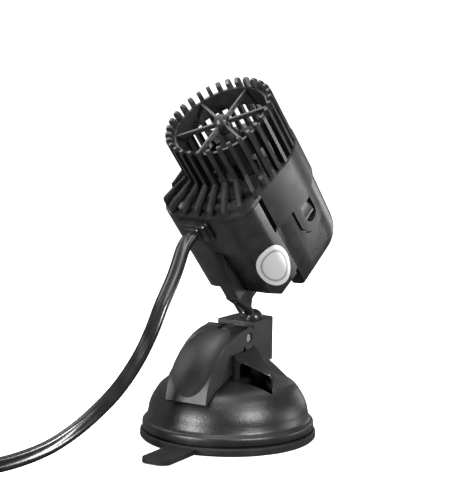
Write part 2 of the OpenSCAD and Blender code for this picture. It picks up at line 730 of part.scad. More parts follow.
module guard_cage() {
    color([0.07, 0.07, 0.07]) at_pump() {
        for (i = [0 : fin_count - 1]) fin(360 * i / fin_count);
        rotate_extrude($fn = 96) translate([ring_r - ring_wall, ring_top - ring_h]) square([ring_wall, ring_h]);
        // Rim on the deck, and the skirt round the body
        translate([0, 0, rim_foot]) linear_extrude(rim_t) rim_outline();
        translate([0, 0, skirt_foot]) linear_extrude(rim_foot + rim_t - 0.4 - skirt_foot) difference() {
            skirt_outline(body_r);
            skirt_outline(body_r - skirt_wall);
            translate([skirt_end - eps, -50]) square([10, 100]);
        }
        for (side = [-1, 1]) latch_tongue(side);
        for (i = [0 : spoke_count - 1]) rotate([0, 0, 360 * i / spoke_count])
            translate([hub_r_out - 0.8, -0.5, ring_top - 2.2]) cube([ring_r - hub_r_out, 1, 1.7]);
        outlet_hub();
    }
}

module latch_tongue(side) {
    intersection() {
        difference() {
            tongue_place(side, 0, body_r);
            translate([tongue_x, side * body_r, 0]) rotate([90, 0, 0]) linear_extrude(20, center = true) {
                translate([-tongue_window / 2, tongue_foot + tongue_w / 2]) square([tongue_window, 5.4]);
                translate([0, tongue_foot + tongue_w / 2]) circle(tongue_window / 2, $fn = 24);
            }
            translate([-50, -50, skirt_foot + 2]) cube(100);
        }
        translate([0, 0, tongue_foot - 1]) linear_extrude(20) difference() {
            skirt_outline(body_r - 0.15);
            skirt_outline(body_r - skirt_wall + 0.25);
        }
    }
}

module outlet_hub() {
    difference() {
        translate([0, 0, hub_foot]) rotate_extrude() polygon([[0, 0], [hub_r_out - 0.4, 0], [hub_r_out, 0.5],
            [hub_r_out, 4], [hub_r_out - 0.5, 5.3], [hub_r_out - 1.4, 6.3], [0, 6.8]]);
        translate([0, 0, hub_foot - 1]) cylinder(r = shaft_r + bush_wall, h = bush_h + 1.4);
    }
}

// Rotor: shaft held by rubber bushes, magnet and impeller running on it
module rotor_shaft() {
    color([0.9, 0.9, 0.88]) at_pump() translate([0, 0, shaft_foot])
        cylinder(r = shaft_r, h = hub_foot + bush_h - 0.2 - shaft_foot);
}

module bush(outer, from) {
    translate([0, 0, from]) difference() {
        cylinder(r = outer, h = bush_h);
        translate([0, 0, -1]) cylinder(r = shaft_r + eps, h = bush_h + 2);
    }
}

module front_bush() {
    color([0.15, 0.15, 0.15]) at_pump() bush(shaft_r + bush_wall - eps, hub_foot);
}

module rear_bush() {
    color([0.15, 0.15, 0.15]) at_pump() bush(shaft_r + 2.2 - eps, well_foot - bush_h + eps);
}

module magnet_rotor() {
    color([0.25, 0.25, 0.27]) at_pump() translate([0, 0, magnet_foot]) difference() {
        cylinder(r = magnet_d / 2, h = magnet_top - magnet_foot);
        translate([0, 0, -1]) cylinder(r = shaft_r + run_gap, h = 100);
        translate([0, 0, -1]) cylinder(r = shaft_r + 2, h = 2);
    }
}

module impeller() {
    nose = hub_foot - 0.4;
    color([0.3, 0.3, 0.32]) at_pump() difference() {
        union() {
            translate([0, 0, magnet_top]) cylinder(r = 5, h = deck_z + 10 - magnet_top);
            translate([0, 0, deck_z + 10 - eps]) cylinder(r1 = 5, r2 = 3, h = nose - deck_z - 10);
            for (i = [0 : blade_count - 1]) rotate([0, 0, 360 * i / blade_count]) impeller_blade();
        }
        translate([0, 0, magnet_top - 1]) cylinder(r = shaft_r + run_gap, h = 60);
    }
}

module impeller_blade() {
    intersection() {
        translate([0, 0, deck_z + 6.5]) rotate([48, 0, 0]) translate([3.5, -7.5, -0.7]) cube([40, 15, 1.4]);
        translate([0, 0, deck_z + 2.4]) cylinder(r = impeller_d / 2, h = 8.6);
    }
}

// Power cord, from the gland to the floor, its coil, tie and plug
module cord_free() {
    line = smooth(free_route, 4);
    color([0.05, 0.05, 0.05]) swept_cord(line, 8, unit(cord_lead - cord_exit), coil_heading(0));
}

module cord_coil() {
    color([0.05, 0.05, 0.05]) swept_cord(coil_route, 6, coil_heading(0), coil_heading(coil_last));
}

module cord_tail() {
    line = smooth(tail_route, 4);
    color([0.05, 0.05, 0.05]) swept_cord(line, 8, coil_heading(coil_last), plug_heading);
}

module cord_tie() {
    inner = coil_outer - coil_pitch * (coil_turns + coil_end_turn / 2) - cord_t / 2 - 0.2;
    outer = coil_outer + cord_t / 2 + 0.2;
    high = cord_stand + cord_w + coil_layer + 0.2;
    color([0.1, 0.1, 0.1]) translate([coil_at[0], coil_at[1], 0]) rotate([0, 0, 60]) rotate([90, 0, 0])
        linear_extrude(6, center = true) difference() {
            translate([inner - 0.8, 0]) square([outer - inner + 1.6, high + 0.8]);
            translate([inner, 0.7]) square([outer - inner, high - 0.7]);
        }
}

module at_plug() {
    translate(plug_at) rotate([0, 0, atan2(plug_heading[1], plug_heading[0])]) children();
}

module plug_body() {
    color([0.06, 0.06, 0.06]) at_plug() difference() {
        union() {
            rotate([0, 90, 0]) cylinder(d1 = plug_nose_d - 2, d2 = plug_nose_d, h = 10, $fn = 32);
            hull() {
                translate([8, 0, 0]) cube([2, plug_nose_d + 1, plug_nose_d], center = true);
                translate([plug_len - 8, 0, 0]) cube([2, plug_w, plug_t], center = true);
                translate([plug_len - 1, 0, 0]) cube([2, plug_w, plug_t], center = true);
            }
        }
        for (side = [-1, 1]) translate([plug_len - 6, side * plug_pin_gap / 2, 0]) rotate([0, 90, 0])
            cylinder(d = plug_pin_d, h = 10, $fn = 32);
    }
}

module plug_pin(side) {
    color([0.8, 0.78, 0.7]) at_plug() translate([plug_len - 6, side * plug_pin_gap / 2, 0]) rotate([0, 90, 0]) {
        cylinder(d = plug_pin_d - 2 * eps, h = plug_pin_len + 5, $fn = 32);
        translate([0, 0, plug_pin_len + 5 - eps]) cylinder(d1 = plug_pin_d - 2 * eps, d2 = plug_pin_d - 1.6, h = 1, $fn = 32);
    }
}

module plug_pin_a() {
    plug_pin(-1);
}

module plug_pin_b() {
    plug_pin(1);
}

suction_cup();
base_dome();
lift_post();
lever_pin();
cam_lever();
ball_liner();
ball_arm();
motor_housing();
potting_plate();
stator_core();
coil_bobbin();
coil_winding();
cable_gland();
guard_cage();
rotor_shaft();
front_bush();
rear_bush();
magnet_rotor();
impeller();
cord_free();
cord_coil();
cord_tail();
cord_tie();
plug_body();
plug_pin_a();
plug_pin_b();
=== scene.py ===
"""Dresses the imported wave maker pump.

Moulded black plastic, a rubber base, a flat mains cord and a plain label.
"""

import math

import bpy
from mathutils import Matrix, Quaternion, Vector


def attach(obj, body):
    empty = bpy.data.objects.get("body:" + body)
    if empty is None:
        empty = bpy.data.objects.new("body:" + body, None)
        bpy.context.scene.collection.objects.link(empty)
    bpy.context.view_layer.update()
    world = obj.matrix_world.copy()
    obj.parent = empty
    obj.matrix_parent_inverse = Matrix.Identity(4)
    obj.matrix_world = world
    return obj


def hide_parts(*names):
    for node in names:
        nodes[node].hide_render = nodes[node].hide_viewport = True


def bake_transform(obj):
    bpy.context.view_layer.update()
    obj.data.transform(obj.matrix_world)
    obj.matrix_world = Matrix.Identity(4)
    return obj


MM = 0.001

# Photograph's frame and the camera that fits it
PHOTO_WIDE = 460
PHOTO_HIGH = 500
FOCAL_PIXELS = 1500
SENSOR_WIDE = 36
CLIP_NEAR = 0.01
CLIP_FAR = 50
VIEW_HEADING = 32.0
VIEW_DISTANCE = 568 * MM
VIEW_HEIGHT = 146.7 * MM
VIEW_PITCH = 7.48
VIEW_ROLL = 0.74

# Soft boxes: turn from the camera's heading, rise, distance, width and height, power
LIGHT_AIM = Vector((0, 0, 0.06))
LIGHTS = {
    "key_light": (37, 26, 0.9, (0.2, 0.2), 10),
    "fill_light": (-50, 8, 0.9, (0.16, 0.18), 9),
    "side_light": (100, 1, 0.8, (0.16, 0.14), 1.3),
    "rim_light": (144, 2, 0.9, (0.2, 0.2), 0.35),
    "upper_light": (-30, 66, 0.9, (0.4, 0.4), 3),
    "back_light": (150, 60, 1.1, (0.5, 0.5), 3),
    "far_light": (-140, 52, 1.1, (0.5, 0.5), 3),
    "top_light": (0, 84, 1.0, (0.8, 0.8), 2.5),
}
WORLD_GLOW = 0.19

# Studio floor and backdrop, in metres
SHEET_TONE = 0.95
SHEET_ROUGH = 0.9
FLOOR_SIZE = 14
FLOOR_DROP = 0.0002
FLOOR_GLOW = 0.86
BACKDROP_SIZE = 6
BACKDROP_AWAY = 3
BACKDROP_GLOW = 1

# Colours
BLACK = (0.006, 0.006, 0.0064)
SOOT = (0.011, 0.011, 0.0115)
GRAPHITE = (0.021, 0.021, 0.0218)
NYLON_DARK = (0.5, 0.5, 0.46)
NYLON_PALE = (0.6, 0.6, 0.55)
FERRITE_DARK = (0.05, 0.05, 0.055)
FERRITE_PALE = (0.08, 0.08, 0.09)
STEEL = (0.82, 0.82, 0.83)
CORE_GREY = (0.45, 0.45, 0.47)
COPPER = (0.72, 0.36, 0.2)
NICKEL = (0.8, 0.78, 0.72)

# Noise in the finishes: its useful range, and its scale and detail for each use
NOISE_LOW = 0.3
NOISE_HIGH = 0.7
TINT_LOW = 0.35
TINT_HIGH = 0.68
DRIFT_SCALE = 160
DRIFT_DETAIL = 4
GRAIN_DETAIL = 3
GRAIN_STRENGTH = 0.6
SCRATCH_DETAIL = 5
SCRATCH_DARK = 0.8
RUBBER_SHINE = 0.3

# Pump head: leaned about the ball, with the pump axis behind it
BALL = Vector((1.4, 15.5, 43.5)) * MM
LEAN = 40.0
LEAN_HEADING = -97.6
AXIS_BACK = 34 * MM
BOX_REACH = 32.5 * MM
BOX_HALF = 20.5 * MM
BOX_CORNER = 9 * MM

# Skirt, the shadow line under it and the barrels beside its latches, in millimetres from the pump axis
BODY_R = 22.4
SKIRT_END = 18.3
SKIRT_FOOT = 36.5
SKIRT_BELOW = 20
SKIRT_ABOVE = 60
SKIRT_TURN = 3
PARTING_DEEP = 1.6
PARTING_OUT = 1
PARTING_HIGH = 0.7
PARTING_LAP = 0.3
PARTING_STEP = 0.7
BARREL_R = 90
BARREL_STEPS = 8
BARREL_BEYOND = 0.5
BARREL_OUT = 2
BARREL_GAP = 0.1

# Label on the coil box: its place and size, and its tones by the share of the way from its middle to its rim
LABEL_ALONG = 4 * MM
LABEL_HIGH = 25.6 * MM
LABEL_RADIUS = 9 * MM
LABEL_NARROW = 0.82
LABEL_POINTS = 64
LABEL_RINGS = 8
LABEL_LIFT = 0.03 * MM
LABEL_THICK = 0.08 * MM
LABEL_TONES = ((0.0, 0.6), (0.66, 0.6), (0.7, 0.3), (0.77, 0.3), (0.81, 0.64))
LABEL_MIDDLE = (0.5, 0.5, 0)
LABEL_RIM = 0.5
LABEL_BLUE = 1.02
LABEL_ROUGH = (0.28, 0.42)
LABEL_METAL = 0.35
CREASE_SCALE = 900
CREASE_DETAIL = 3
CREASE_DEPTH = 0.00003
CREASE_STRENGTH = 0.4

# Base, in millimetres
FLANGE_R = 33.1
FLANGE_H = 5.9
CUP_LIP = 3
DOME_H = 25.6
DOME_WALL = 2
DOME_SKIN = 0.05
DOME_STEPS = 192
DOME_CURVE_STEPS = 6
CORE_SKIN = 0.06
CORE_BEYOND = 3
CORE_BELOW = -1
CORE_AXIS = 0.01
CORE_STEPS = 96
STEM_HOLE = 5.1
STEM_HOLE_DOWN = 2.2
ROOF_INNER = 10.3
ROOF_FRONT = -12.2
ROOF_SWEEP = 36.87
WINDOW = ((2, -0.4), (13.8, -5.9), (14.4, -1), (13, 2), (12.6, 7), (9, 9), (2, 1))
WINDOW_ROUND = 0.25
WINDOW_STEPS = 4
WINDOW_DEEP = 12.6
WINDOW_OVER = 0.2

# Dome's outlines: inwards from the rim and up from the lip, or down from the top
FLANGE_EDGE = ((1.2, 0.35), (1.2, 0.8), (0.4, 0.8), (0.1, 0.9), (0, 1.2), (0, 2.9),
               (0.1, 3.4), (0.4, 3.8), (0.9, 4.1), (1.4, 4.5), (1.7, 5.1), (1.9, 5.9))
DOME_CURVE = ((2.2, 15.6), (2.7, 13), (3.7, 10.4), (5.1, 8), (6.7, 5.8), (9, 4),
              (12.8, 2.4), (18.1, 1), (28, 0.2))
INNER_WALL = ((3.7, 10.8), (2.7, 13), (2.2, 15.6))
INNER_FOOT = ((1.6, 3.4), (0, 2), (0, 0.35))
# Dome's ceiling: radius and down from the top
INNER_CROWN = ((15, 3), (19.5, 4.4), (22.9, 5.6), (24.8, 7), (26.2, 8.8))

# Rounded edges: the copies are welded, flattened, cleaned of slivers and smoothed. Angles are in degrees
WELD = 0.000002
SLIVER = 0.000001
FLAT_ANGLE = 1
EDGE_ANGLE = 35
EDGE_SMOOTH = 30
EVEN_WEIGHT = 100
CAGE_EDGE = 0.22 * MM
SHELL_EDGE = 0.5 * MM
GLAND_EDGE = 0.3 * MM
STALK_EDGE = 0.4 * MM
POST_EDGE = 0.5 * MM
LEVER_EDGE = 0.35 * MM
LEVER_ANGLE = 16
SADDLE_EDGE = 0.35 * MM
CUP_EDGE = 0.3 * MM
PLUG_EDGE = 1.6 * MM
PLUG_SEGMENTS = 3
DOME_SMOOTH = 40
CORD_SMOOTH = 50

# Flat two-core cord: its section, with the groove between the cores as shares of its thickness and width
CORD_WIDE = 5.4 * MM
CORD_THICK = 3.2 * MM
SECTION_POINTS = 32
SECTION_EDGE = 0.8
SECTION_FACE = 0.62
GROOVE_DEEP = 0.22
GROOVE_WIDE = 0.16

# Cord's fall from the gland to the floor. Points are in millimetres, the gland's two from the pump axis
CORD_STAND = 0.9 * MM
CORD_FLOOR = CORD_STAND + CORD_WIDE / 2
GLAND_EXIT = (36, -4, 47.8)
GLAND_LEAD = (42, -4, 47.8)
CORD_BEND = (-12.8, -54, 26.6)
CORD_FALLS = [(-5.6, -29.6, 65.2), (-5.2, -38.2, 55.4), (-6.2, -43.6, 45.6), (-9, -48, 36), CORD_BEND,
              (-17, -61, 19), (-21.4, -69, 12.6), (-25.8, -78.6, 7.8), (-31, -90, 5), (-36.6, -102.4, 4)]
CORD_RUN = ((-42.2, -116), (-46, -131), (-47.8, -148))
CORD_STEPS = 8
# Cord's roll where it leaves the gland, in degrees, and the points over which it dies away
CORD_ROLL = 76
CORD_FALL = 96

# Coil on the floor, with its turns counted from the outside
COIL_AT = Vector((-14, -181, 0)) * MM
COIL_OUTER = 36 * MM
COIL_PITCH = CORD_THICK + 0.6 * MM
COIL_LAYER = CORD_WIDE + 0.6 * MM
COIL_START = 168
COIL_LAST = 5.87
COIL_CLIMB = 0.5
COIL_STEPS = 36

# Cord's end and the plug on the coil. Points are forward, aside and up from the coil's end, in millimetres
PLUG_HALF = 13.7 / 2 * MM
PLUG_HIGH = CORD_STAND + CORD_WIDE + COIL_LAYER + 0.3 * MM + PLUG_HALF
PLUG_AT = (22.2, 51.6)
PLUG_LEAD = 4
PLUG_INWARDS = 0.39
PLUG_BACK = 0.92
TAIL_TURN = ((15.4, 2.8, 1), (24.4, 8.6, 3.6), (30.8, 16.4, 6.6), (34.4, 25, 8.8))
TAIL_OVER = ((35.2, 35.4), (30.4, 45.4))
TAIL_STEPS = 6

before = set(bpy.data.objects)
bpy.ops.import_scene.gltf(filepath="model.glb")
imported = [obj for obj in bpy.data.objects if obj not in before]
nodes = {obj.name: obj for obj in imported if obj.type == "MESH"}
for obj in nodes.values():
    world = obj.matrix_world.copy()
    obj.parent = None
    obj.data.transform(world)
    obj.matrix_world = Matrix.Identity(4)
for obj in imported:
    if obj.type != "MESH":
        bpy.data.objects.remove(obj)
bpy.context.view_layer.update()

head_place = (Matrix.Translation(BALL) @ Matrix.Rotation(math.radians(LEAN_HEADING), 4, "Z")
              @ Matrix.Rotation(math.radians(LEAN), 4, "Y"))
pump_place = head_place @ Matrix.Translation((-AXIS_BACK, 0, 0))


def pump_point(x, y, z):
    """A point given in millimetres from the pump axis, in the part's frame."""
    return pump_place @ (Vector((x, y, z)) * MM)


# Work on meshes
def select_only(piece):
    bpy.ops.object.select_all(action="DESELECT")
    piece.select_set(True)
    bpy.context.view_layer.objects.active = piece


def edit(piece):
    select_only(piece)
    bpy.ops.object.mode_set(mode="EDIT")
    bpy.ops.mesh.select_all(action="SELECT")


def leave():
    bpy.ops.object.mode_set(mode="OBJECT")


def apply_all(piece):
    select_only(piece)
    for modifier in list(piece.modifiers):
        bpy.ops.object.modifier_apply(modifier=modifier.name)


def smooth(piece, angle):
    select_only(piece)
    bpy.ops.object.shade_smooth_by_angle(angle=math.radians(angle))


def turn_outwards(piece):
    edit(piece)
    bpy.ops.mesh.normals_make_consistent(inside=False)
    leave()


def new_piece(name, corners, faces):
    mesh = bpy.data.meshes.new(name)
    mesh.from_pydata(corners, [], faces)
    piece = bpy.data.objects.new(name, mesh)
    bpy.context.scene.collection.objects.link(piece)
    turn_outwards(piece)
    return piece


# Camera and light
def make_camera():
    heading = math.radians(VIEW_HEADING)
    away = Vector((-math.sin(heading), math.cos(heading), 0))
    level_right = Vector((math.cos(heading), math.sin(heading), 0))
    pitch = math.radians(VIEW_PITCH)
    look = away * math.cos(pitch) - Vector((0, 0, 1)) * math.sin(pitch)
    level_up = away * math.sin(pitch) + Vector((0, 0, 1)) * math.cos(pitch)
    roll = math.radians(VIEW_ROLL)
    right = level_right * math.cos(roll) + level_up * math.sin(roll)
    up = right.cross(look)
    data = bpy.data.cameras.new("photo_camera")
    camera = bpy.data.objects.new("photo_camera", data)
    bpy.context.scene.collection.objects.link(camera)
    turn = Matrix((right, up, -look)).transposed().to_4x4()
    place = -away * VIEW_DISTANCE + Vector((0, 0, VIEW_HEIGHT))
    camera.matrix_world = Matrix.Translation(place) @ turn
    data.sensor_width = SENSOR_WIDE
    data.lens = FOCAL_PIXELS * data.sensor_width / max(PHOTO_WIDE, PHOTO_HIGH)
    data.clip_start = CLIP_NEAR
    data.clip_end = CLIP_FAR
    bpy.context.scene.camera = camera


def soft_box(name, turn, rise, distance, size, power):
    heading = math.radians(VIEW_HEADING + turn)
    lift = math.radians(rise)
    level = math.cos(lift)
    way = Vector((math.sin(heading) * level, -math.cos(heading) * level, math.sin(lift)))
    data = bpy.data.lights.new(name, "AREA")
    data.shape = "RECTANGLE"
    data.size = size[0]
    data.size_y = size[1]
    data.energy = power
    light = bpy.data.objects.new(name, data)
    bpy.context.scene.collection.objects.link(light)
    light.location = LIGHT_AIM + way * distance
    light.rotation_euler = way.to_track_quat("Z", "Y").to_euler()


def make_studio():
    for name, settings in LIGHTS.items():
        soft_box(name, *settings)
    world = bpy.data.worlds.new("studio")
    bpy.context.scene.world = world
    world.use_nodes = True
    sky = world.node_tree.nodes["Background"]
    sky.inputs["Color"].default_value = (1, 1, 1, 1)
    sky.inputs["Strength"].default_value = WORLD_GLOW
    bpy.context.scene.view_settings.view_transform = "Standard"


def pale_sheet(name, size, place, turn, glow):
    bpy.ops.object.select_all(action="DESELECT")
    bpy.ops.mesh.primitive_plane_add(size=size, location=place, rotation=turn)
    sheet = bpy.context.object
    sheet.name = name
    paint = bpy.data.materials.new(name)
    paint.use_nodes = True
    shader = paint.node_tree.nodes["Principled BSDF"]
    shader.inputs["Base Color"].default_value = (SHEET_TONE, SHEET_TONE, SHEET_TONE, 1)
    shader.inputs["Roughness"].default_value = SHEET_ROUGH
    shader.inputs["Emission Color"].default_value = (1, 1, 1, 1)
    shader.inputs["Emission Strength"].default_value = glow
    sheet.data.materials.append(paint)
    sheet.visible_glossy = False
    sheet.visible_diffuse = False


def make_floor():
    pale_sheet("studio_floor", FLOOR_SIZE, (0, 0, -FLOOR_DROP), (0, 0, 0), FLOOR_GLOW)


def make_backdrop():
    heading = math.radians(VIEW_HEADING)
    place = Vector((-math.sin(heading), math.cos(heading), 0)) * BACKDROP_AWAY
    pale_sheet("studio_backdrop", BACKDROP_SIZE, place, (math.radians(90), 0, heading), BACKDROP_GLOW)


# Materials
def new_finish(name):
    finish = bpy.data.materials.new(name)
    finish.use_nodes = True
    tree = finish.node_tree
    return finish, tree, tree.nodes["Principled BSDF"]


def add_noise(tree, scale, detail):
    place = tree.nodes.new("ShaderNodeTexCoord")
    noise = tree.nodes.new("ShaderNodeTexNoise")
    noise.inputs["Scale"].default_value = scale
    noise.inputs["Detail"].default_value = detail
    tree.links.new(place.outputs["Object"], noise.inputs["Vector"])
    return noise


def spread(tree, source, span, socket):
    """Turns a noise into a range of values on a socket."""
    ramp = tree.nodes.new("ShaderNodeMapRange")
    ramp.inputs["From Min"].default_value = NOISE_LOW
    ramp.inputs["From Max"].default_value = NOISE_HIGH
    ramp.inputs["To Min"].default_value = span[0]
    ramp.inputs["To Max"].default_value = span[1]
    tree.links.new(source, ramp.inputs["Value"])
    tree.links.new(ramp.outputs["Result"], socket)


def tint(tree, source, dark, light, socket):
    """Turns a noise into a drift between two colours on a socket."""
    ramp = tree.nodes.new("ShaderNodeValToRGB")
    ramp.color_ramp.elements[0].position = TINT_LOW
    ramp.color_ramp.elements[1].position = TINT_HIGH
    ramp.color_ramp.elements[0].color = (*dark, 1)
    ramp.color_ramp.elements[1].color = (*light, 1)
    tree.links.new(source, ramp.inputs["Fac"])
    tree.links.new(ramp.outputs["Color"], socket)


def raise_grain(tree, shader, source, depth, strength):
    bump = tree.nodes.new("ShaderNodeBump")
    bump.inputs["Distance"].default_value = depth
    bump.inputs["Strength"].default_value = strength
    tree.links.new(source, bump.inputs["Height"])
    tree.links.new(bump.outputs["Normal"], shader.inputs["Normal"])


def moulded_plastic(name, dark, light, rough, grain_size, grain_depth):
    """A moulding: faint mottling, roughness that drifts, and a spark-eroded grain."""
    finish, tree, shader = new_finish(name)
    drift = add_noise(tree, DRIFT_SCALE, DRIFT_DETAIL)
    tint(tree, drift.outputs["Fac"], dark, light, shader.inputs["Base Color"])
    spread(tree, drift.outputs["Fac"], rough, shader.inputs["Roughness"])
    grain = add_noise(tree, 1 / grain_size, GRAIN_DETAIL)
    raise_grain(tree, shader, grain.outputs["Fac"], grain_depth, GRAIN_STRENGTH)
    return finish


def metal(name, tone, rough, brush):
    finish, tree, shader = new_finish(name)
    shader.inputs["Metallic"].default_value = 1
    scratch = add_noise(tree, brush, SCRATCH_DETAIL)
    dark = [c * SCRATCH_DARK for c in tone]
    tint(tree, scratch.outputs["Fac"], dark, tone, shader.inputs["Base Color"])
    spread(tree, scratch.outputs["Fac"], rough, shader.inputs["Roughness"])
    return finish


def label_foil():
    """Plain silver label with one printed ring, drawn by the distance from the label's middle."""
    finish, tree, shader = new_finish("label_foil")
    place = tree.nodes.new("ShaderNodeTexCoord")
    away = tree.nodes.new("ShaderNodeVectorMath")
    away.operation = "DISTANCE"
    away.inputs[1].default_value = LABEL_MIDDLE
    tree.links.new(place.outputs["UV"], away.inputs[0])
    share = tree.nodes.new("ShaderNodeMath")
    share.operation = "MULTIPLY"
    share.inputs[1].default_value = 1 / LABEL_RIM
    tree.links.new(away.outputs["Value"], share.inputs[0])
    ramp = tree.nodes.new("ShaderNodeValToRGB")
    stops = ramp.color_ramp.elements
    for index, (at, tone) in enumerate(LABEL_TONES):
        stop = stops[index] if index < 2 else stops.new(at)
        stop.position = at
        stop.color = (tone, tone, tone * LABEL_BLUE, 1)
    tree.links.new(share.outputs["Value"], ramp.inputs["Fac"])
    tree.links.new(ramp.outputs["Color"], shader.inputs["Base Color"])
    crease = add_noise(tree, CREASE_SCALE, CREASE_DETAIL)
    spread(tree, crease.outputs["Fac"], LABEL_ROUGH, shader.inputs["Roughness"])
    raise_grain(tree, shader, crease.outputs["Fac"], CREASE_DEPTH, CREASE_STRENGTH)
    shader.inputs["Metallic"].default_value = LABEL_METAL
    return finish


# Each moulding's two colours, range of roughness, grain size and grain depth
head_plastic = moulded_plastic("head_plastic", SOOT, GRAPHITE, (0.25, 0.32), 0.0006, 0.00002)
cage_plastic = moulded_plastic("cage_plastic", SOOT, GRAPHITE, (0.34, 0.42), 0.0008, 0.00001)
dome_plastic = moulded_plastic("dome_plastic", BLACK, SOOT, (0.34, 0.40), 0.0006, 0.00016)
lever_plastic = moulded_plastic("lever_plastic", BLACK, SOOT, (0.36, 0.44), 0.0005, 0.00003)
cup_rubber = moulded_plastic("cup_rubber", BLACK, SOOT, (0.5, 0.62), 0.0012, 0.00004)
rubber_shader = cup_rubber.node_tree.nodes["Principled BSDF"]
rubber_shader.inputs["Specular IOR Level"].default_value = RUBBER_SHINE
cord_jacket = moulded_plastic("cord_jacket", BLACK, SOOT, (0.2, 0.28), 0.0015, 0.00002)
bobbin_plastic = moulded_plastic("bobbin_plastic", NYLON_DARK, NYLON_PALE, (0.4, 0.5), 0.001, 0.00002)
# Each metal's colour, range of roughness and scratch scale
pin_steel = metal("pin_steel", STEEL, (0.18, 0.3), 1500)
core_steel = metal("core_steel", CORE_GREY, (0.35, 0.5), 2500)
winding_copper = metal("winding_copper", COPPER, (0.3, 0.45), 2500)
plug_nickel = metal("plug_nickel", NICKEL, (0.15, 0.28), 1200)
magnet_ferrite = moulded_plastic("magnet_ferrite", FERRITE_DARK, FERRITE_PALE, (0.5, 0.6), 0.0005, 0.00003)


def finish_with(piece, finish):
    piece.data.materials.clear()
    piece.data.materials.append(finish)


# Cord
def spline_point(a, b, c, d, t):
    return b + 0.5 * t * (c - a + t * (2 * a - 5 * b + 4 * c - d + t * (3 * (b - c) + d - a)))


def spline(route, steps):
    """A smooth line through a route's points, with a number of steps from each point to the next."""
    last = len(route) - 1
    line = []
    for i in range(last):
        before = route[max(i - 1, 0)]
        after = route[min(i + 2, last)]
        for k in range(steps):
            line.append(spline_point(before, route[i], route[i + 1], after, k / steps))
    line.append(route[last])
    return line


def coil_angle(t):
    return math.radians(COIL_START + 360 * t)


def coil_outwards(t):
    return Vector((math.cos(coil_angle(t)), math.sin(coil_angle(t)), 0))


def coil_heading(t):
    return Vector((-math.sin(coil_angle(t)), math.cos(coil_angle(t)), 0))


def coil_point(t):
    """The coil winds inwards on the floor, climbs a layer halfway and winds out again on top."""
    r = COIL_OUTER - COIL_PITCH * min(t, COIL_LAST - t)
    climb = min(1, max(0, (t - COIL_LAST / 2 + COIL_CLIMB / 2) / COIL_CLIMB))
    high = CORD_FLOOR + COIL_LAYER * climb * climb * (3 - 2 * climb)
    return COIL_AT + coil_outwards(t) * r + Vector((0, 0, high))


def tail_line():
    """The cord's end, which leaves the coil, turns back over it and enters the plug."""
    start = coil_point(COIL_LAST)
    along = coil_heading(COIL_LAST)
    inwards = -coil_outwards(COIL_LAST)

    def place(forward, aside, up):
        return start + (along * forward + inwards * aside + Vector((0, 0, up))) * MM

    rise = (PLUG_HIGH - start.z) / MM
    plug_at = place(*PLUG_AT, rise)
    plug_heading = (inwards * PLUG_INWARDS - along * PLUG_BACK).normalized()
    route = [start + along * CORD_WIDE]
    route += [place(*point) for point in TAIL_TURN]
    route += [place(*point, rise) for point in TAIL_OVER]
    route += [plug_at - plug_heading * PLUG_LEAD * MM, plug_at]
    return spline(route, TAIL_STEPS)


def cord_line():
    """The cord's middle line from the gland to the plug."""
    floor = CORD_FLOOR / MM
    falls = CORD_FALLS + [(x, y, floor) for x, y in CORD_RUN]
    coil_in = coil_point(0) - coil_heading(0) * CORD_WIDE
    route = [pump_point(*GLAND_EXIT), pump_point(*GLAND_LEAD)]
    route += [Vector(point) * MM for point in falls]
    free = spline(route + [coil_in], CORD_STEPS)
    turns = [coil_point(i / COIL_STEPS) for i in range(int(COIL_LAST * COIL_STEPS) + 1)]
    return free + turns + tail_line()


def cord_section():
    """Outline of the flat cord: two round cores side by side, with a groove on each broad face."""
    outline = []
    for k in range(SECTION_POINTS):
        a = 2 * math.pi * k / SECTION_POINTS
        wide = math.copysign(abs(math.sin(a)) ** SECTION_EDGE, math.sin(a)) * CORD_WIDE / 2
        groove = GROOVE_DEEP * math.exp(-(wide / (GROOVE_WIDE * CORD_WIDE)) ** 2)
        face = math.copysign(abs(math.cos(a)) ** SECTION_FACE, math.cos(a))
        thick = face * CORD_THICK / 2 * (1 - groove)
        outline.append((thick, wide))
    return outline


def cord_roll(i):
    """The cord leaves the gland on its broad face and turns on edge as it falls to the floor."""
    return math.radians(CORD_ROLL) * max(0, 1 - i / CORD_FALL)


def cord_body(line):
    """The section carried along the line, as a closed piece."""
    outline = cord_section()
    corners = []
    faces = []
    for i, at in enumerate(line):
        along = (line[min(i + 1, len(line) - 1)] - line[max(i - 1, 0)]).normalized()
        side = along.cross(Vector((0, 0, 1))).normalized()
        side.rotate(Quaternion(along, cord_roll(i)))
        up = side.cross(along)
        corners += [at + side * thick + up * wide for thick, wide in outline]
    count = len(outline)
    for i in range(len(line) - 1):
        for k in range(count):
            n = (k + 1) % count
            faces.append((i * count + k, i * count + n, (i + 1) * count + n, (i + 1) * count + k))
    faces.append(tuple(reversed(range(count))))
    faces.append(tuple((len(line) - 1) * count + k for k in range(count)))
    return new_piece("power_cord", corners, faces)


def make_cord(plug):
    line = cord_line()
    cord = cord_body(line)
    smooth(cord, CORD_SMOOTH)
    finish_with(cord, cord_jacket)
    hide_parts("cord_free", "cord_coil", "cord_tail")
    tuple(line[0])
    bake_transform(cord)
    length = sum((b - a).length for a, b in zip(line, line[1:]))
    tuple(line[0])


# Mouldings: a copy of the solid with its edges rounded
def solid_copy(node, name, flatten=True):
    piece = nodes[node].copy()
    piece.data = nodes[node].data.copy()
    piece.name = name
    piece.parent = None
    for key in list(piece.keys()):
        del piece[key]
    bpy.context.scene.collection.objects.link(piece)
    edit(piece)
    bpy.ops.mesh.remove_doubles(threshold=WELD)
    if flatten:
        bpy.ops.mesh.dissolve_limited(angle_limit=math.radians(FLAT_ANGLE))
    leave()
    return piece


